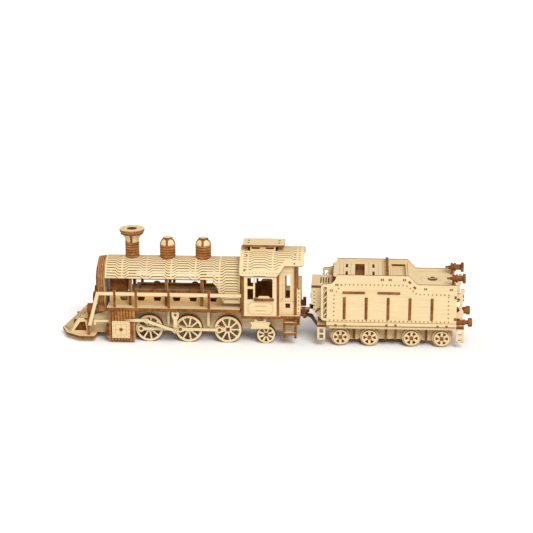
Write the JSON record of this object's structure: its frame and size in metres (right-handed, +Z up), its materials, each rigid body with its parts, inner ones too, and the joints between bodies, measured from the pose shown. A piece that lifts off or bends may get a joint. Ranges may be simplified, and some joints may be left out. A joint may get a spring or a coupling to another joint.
{
  "type": "wooden steam locomotive puzzle model",
  "caption": "Laser-cut plywood steam locomotive with its tender, a press-together puzzle model with turning spoked wheels, side rods and a hinged drawbar.",
  "frame": {"origin": "middle of the train's length and width, at the level that the wheels stand on", "axes": "X runs along the train with the locomotive's front toward -X and the tender's buffers toward +X, Y across the train, +Z up"},
  "size_m": [0.308, 0.046, 0.0833],
  "materials": {
    "pale_plywood": "raw sanded plywood face with burnt cut edges",
    "thin_bent_skin": "thin plywood slit in waves so that it bends",
    "wheel_plywood": "raw plywood discs with burnt cut edges",
    "burnt_edge_plywood": "stacked plywood seen on its burnt cut edges",
    "dark_burnt_plywood": "small plywood pieces, burnt dark all round"
  },
  "bodies": {
    "locomotive": {"frame_left": "pale_plywood", "cab_side_left": "pale_plywood", "cab_rear_panel_left": "pale_plywood", "handrail_left": "pale_plywood", "cylinder_left": "burnt_edge_plywood", "cab_steps_left": "burnt_edge_plywood", "frame_right": "pale_plywood", "cab_side_right": "pale_plywood", "cab_rear_panel_right": "pale_plywood", "handrail_right": "pale_plywood", "cylinder_right": "burnt_edge_plywood", "cab_steps_right": "burnt_edge_plywood", "running_board": "pale_plywood", "boiler_box": "pale_plywood", "cab_front_wall": "pale_plywood", "cab_roof": "thin_bent_skin", "roof_vent": "pale_plywood", "pilot": "pale_plywood", "boiler_skin": "thin_bent_skin", "smokebox_front": "burnt_edge_plywood", "chimney": "burnt_edge_plywood", "front_dome": "burnt_edge_plywood", "rear_dome": "burnt_edge_plywood", "cab_floor": "burnt_edge_plywood", "buffer_beam": "burnt_edge_plywood", "boiler_former_1": "burnt_edge_plywood", "boiler_former_2": "burnt_edge_plywood", "boiler_former_3": "burnt_edge_plywood", "smokebox_door": "dark_burnt_plywood"},
    "driver_2": {"driver_2_axle": "dark_burnt_plywood", "driver_2_wheel_left": "wheel_plywood", "driver_2_wheel_right": "wheel_plywood"},
    "driver_1": {"driver_1_axle": "dark_burnt_plywood", "driver_1_wheel_left": "wheel_plywood", "driver_1_wheel_right": "wheel_plywood"},
    "driver_3": {"driver_3_axle": "dark_burnt_plywood", "driver_3_wheel_left": "wheel_plywood", "driver_3_wheel_right": "wheel_plywood"},
    "coupling_rod_left": {"coupling_rod_left": "pale_plywood"},
    "swing_link_left": {"swing_link_left": "pale_plywood"},
    "piston_left": {"piston_rod_left": "pale_plywood", "main_rod_left": "pale_plywood"},
    "coupling_rod_right": {"coupling_rod_right": "pale_plywood"},
    "swing_link_right": {"swing_link_right": "pale_plywood"},
    "piston_right": {"piston_rod_right": "pale_plywood", "main_rod_right": "pale_plywood"},
    "leading_wheels": {"leading_wheelset": "wheel_plywood"},
    "trailing_wheels": {"trailing_wheelset": "wheel_plywood"},
    "drawbar": {"drawbar": "burnt_edge_plywood"},
    "tender": {"tender_side_left": "pale_plywood", "tender_side_right": "pale_plywood", "tender_underframe": "pale_plywood", "tender_front_box": "pale_plywood", "tender_deck": "pale_plywood", "tender_rear_deck": "pale_plywood", "tender_rear_wall": "pale_plywood"},
    "tender_wheels_1": {"tender_wheelset_1": "wheel_plywood"},
    "tender_wheels_2": {"tender_wheelset_2": "wheel_plywood"},
    "tender_wheels_3": {"tender_wheelset_3": "wheel_plywood"},
    "tender_wheels_4": {"tender_wheelset_4": "wheel_plywood"}
  },
  "joints": [
    {"name": "driver_2_spin", "type": "hinge", "parent": "locomotive", "child": "driver_2", "pos_m": [-0.0563, 0, 0.0105], "axis": [0, 1, 0], "continuous": true},
    {"name": "driver_1_spin", "type": "hinge", "parent": "locomotive", "child": "driver_1", "pos_m": [-0.0858, 0, 0.0105], "axis": [0, 1, 0], "continuous": true},
    {"name": "driver_3_spin", "type": "hinge", "parent": "locomotive", "child": "driver_3", "pos_m": [-0.027, 0, 0.0105], "axis": [0, 1, 0], "continuous": true},
    {"name": "coupling_rod_left_turn", "type": "hinge", "parent": "driver_2", "child": "coupling_rod_left", "pos_m": [-0.0625, -0.017, 0.0105], "axis": [0, 1, 0], "continuous": true},
    {"name": "coupling_rod_right_turn", "type": "hinge", "parent": "driver_2", "child": "coupling_rod_right", "pos_m": [-0.0625, 0.017, 0.0105], "axis": [0, 1, 0], "continuous": true},
    {"name": "leading_wheels_spin", "type": "hinge", "parent": "locomotive", "child": "leading_wheels", "pos_m": [-0.1124, 0, 0.0071], "axis": [0, 1, 0], "continuous": true},
    {"name": "trailing_wheels_spin", "type": "hinge", "parent": "locomotive", "child": "trailing_wheels", "pos_m": [0.0015, 0, 0.0071], "axis": [0, 1, 0], "continuous": true},
    {"name": "piston_left_slide", "type": "slide", "parent": "locomotive", "child": "piston_left", "axis": [1, 0, 0], "range_m": [-0.00188, 0.00188]},
    {"name": "swing_link_left_swing", "type": "hinge", "parent": "locomotive", "child": "swing_link_left", "pos_m": [-0.066, -0.0188, 0.0222], "axis": [0, 1, 0], "range_deg": [-9, 9]},
    {"name": "piston_right_slide", "type": "slide", "parent": "locomotive", "child": "piston_right", "axis": [1, 0, 0], "range_m": [-0.00188, 0.00188]},
    {"name": "swing_link_right_swing", "type": "hinge", "parent": "locomotive", "child": "swing_link_right", "pos_m": [-0.066, 0.0188, 0.0222], "axis": [0, 1, 0], "range_deg": [-9, 9]},
    {"name": "drawbar_swing", "type": "hinge", "parent": "locomotive", "child": "drawbar", "pos_m": [0.0298, 0, 0.018], "axis": [0, 0, 1], "range_deg": [-5, 5]},
    {"name": "tender_swing", "type": "hinge", "parent": "drawbar", "child": "tender", "pos_m": [0.0432, 0, 0.0106], "axis": [0, 0, 1], "range_deg": [-5, 5]},
    {"name": "tender_wheels_1_spin", "type": "hinge", "parent": "tender", "child": "tender_wheels_1", "pos_m": [0.0569, 0, 0.0071], "axis": [0, 1, 0], "continuous": true},
    {"name": "tender_wheels_2_spin", "type": "hinge", "parent": "tender", "child": "tender_wheels_2", "pos_m": [0.0785, 0, 0.0071], "axis": [0, 1, 0], "continuous": true},
    {"name": "tender_wheels_3_spin", "type": "hinge", "parent": "tender", "child": "tender_wheels_3", "pos_m": [0.1095, 0, 0.0071], "axis": [0, 1, 0], "continuous": true},
    {"name": "tender_wheels_4_spin", "type": "hinge", "parent": "tender", "child": "tender_wheels_4", "pos_m": [0.1318, 0, 0.0071], "axis": [0, 1, 0], "continuous": true}
  ],
  "couplings": [
    {"joint": "driver_1_spin", "follows": "driver_2_spin", "ratio": 1},
    {"joint": "driver_3_spin", "follows": "driver_2_spin", "ratio": 1},
    {"joint": "coupling_rod_left_turn", "follows": "driver_2_spin", "ratio": -1},
    {"joint": "coupling_rod_right_turn", "follows": "driver_2_spin", "ratio": -1},
    {"joint": "swing_link_left_swing", "follows": "piston_left_slide", "rad_per_m": -83.333},
    {"joint": "swing_link_right_swing", "follows": "piston_right_slide", "rad_per_m": -83.333}
  ]
}
